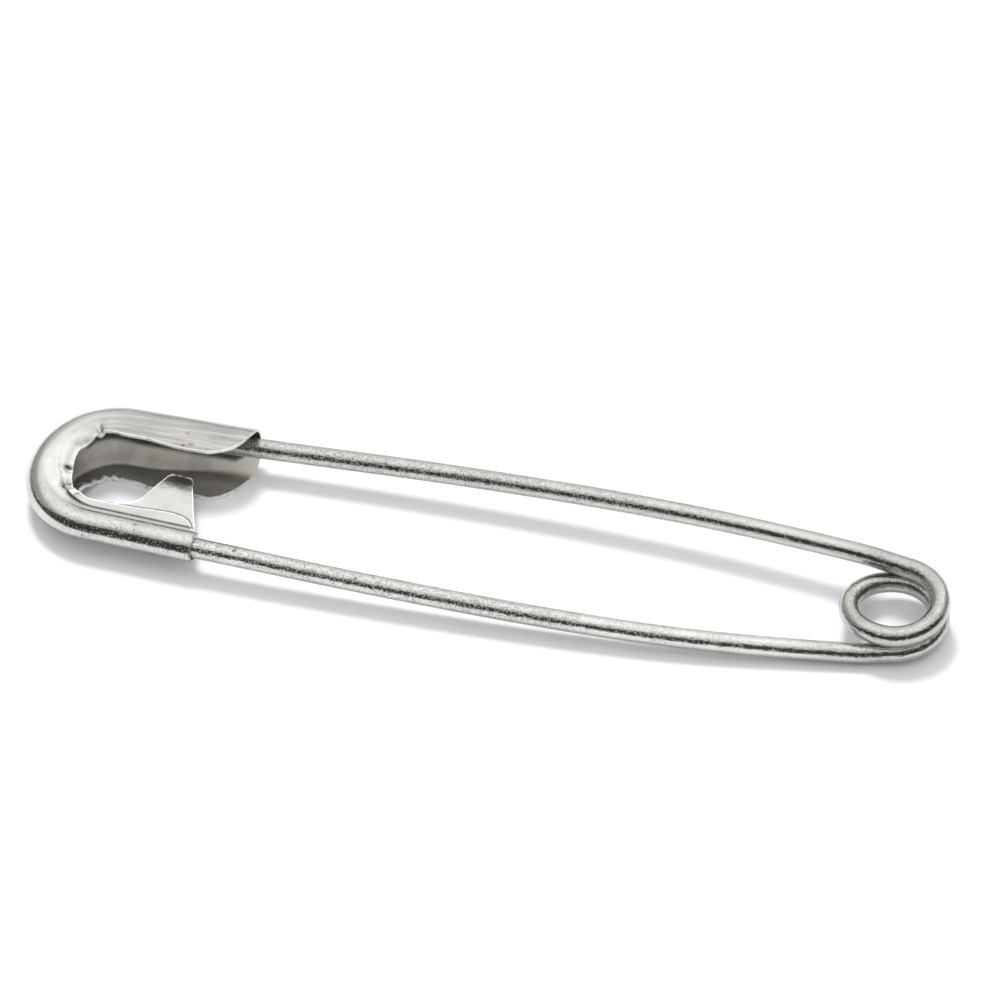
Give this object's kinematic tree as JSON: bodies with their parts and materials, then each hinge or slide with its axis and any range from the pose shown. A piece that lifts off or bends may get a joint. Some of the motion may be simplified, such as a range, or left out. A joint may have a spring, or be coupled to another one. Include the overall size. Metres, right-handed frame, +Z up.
{
  "type": "safety pin",
  "caption": "Large closed safety pin: a bowed spring wire with a coil at one end, its point held in a folded sheet-metal cap with a guard tongue.",
  "frame": {"origin": "under the middle of the closed pin's bounding box, on the surface it lies on", "axes": "+X from the capped end to the coil, +Y from the fixed arm to the pin arm, +Z up, along the coil's axis"},
  "size_m": [0.1004, 0.0198, 0.0064],
  "materials": {
    "plated_wire": "bright nickel plate, finely pitted",
    "plated_sheet": "nickel plate, faintly brushed"
  },
  "bodies": {
    "pin_back": {"cap": "plated_sheet", "fixed_arm": "plated_wire", "coil": "plated_wire"},
    "sprung_arm": {"pin_arm": "plated_wire"}
  },
  "joints": [
    {"name": "arm_spring", "type": "hinge", "parent": "pin_back", "child": "sprung_arm", "pos_m": [0.0444, 0.00066, 0.0032], "axis": [0, 0.2419, 0.9703], "range_deg": [0, 12], "stiffness_Nm_per_rad": 0.02, "springref_deg": -5.73, "deforming": ["coil"]}
  ]
}
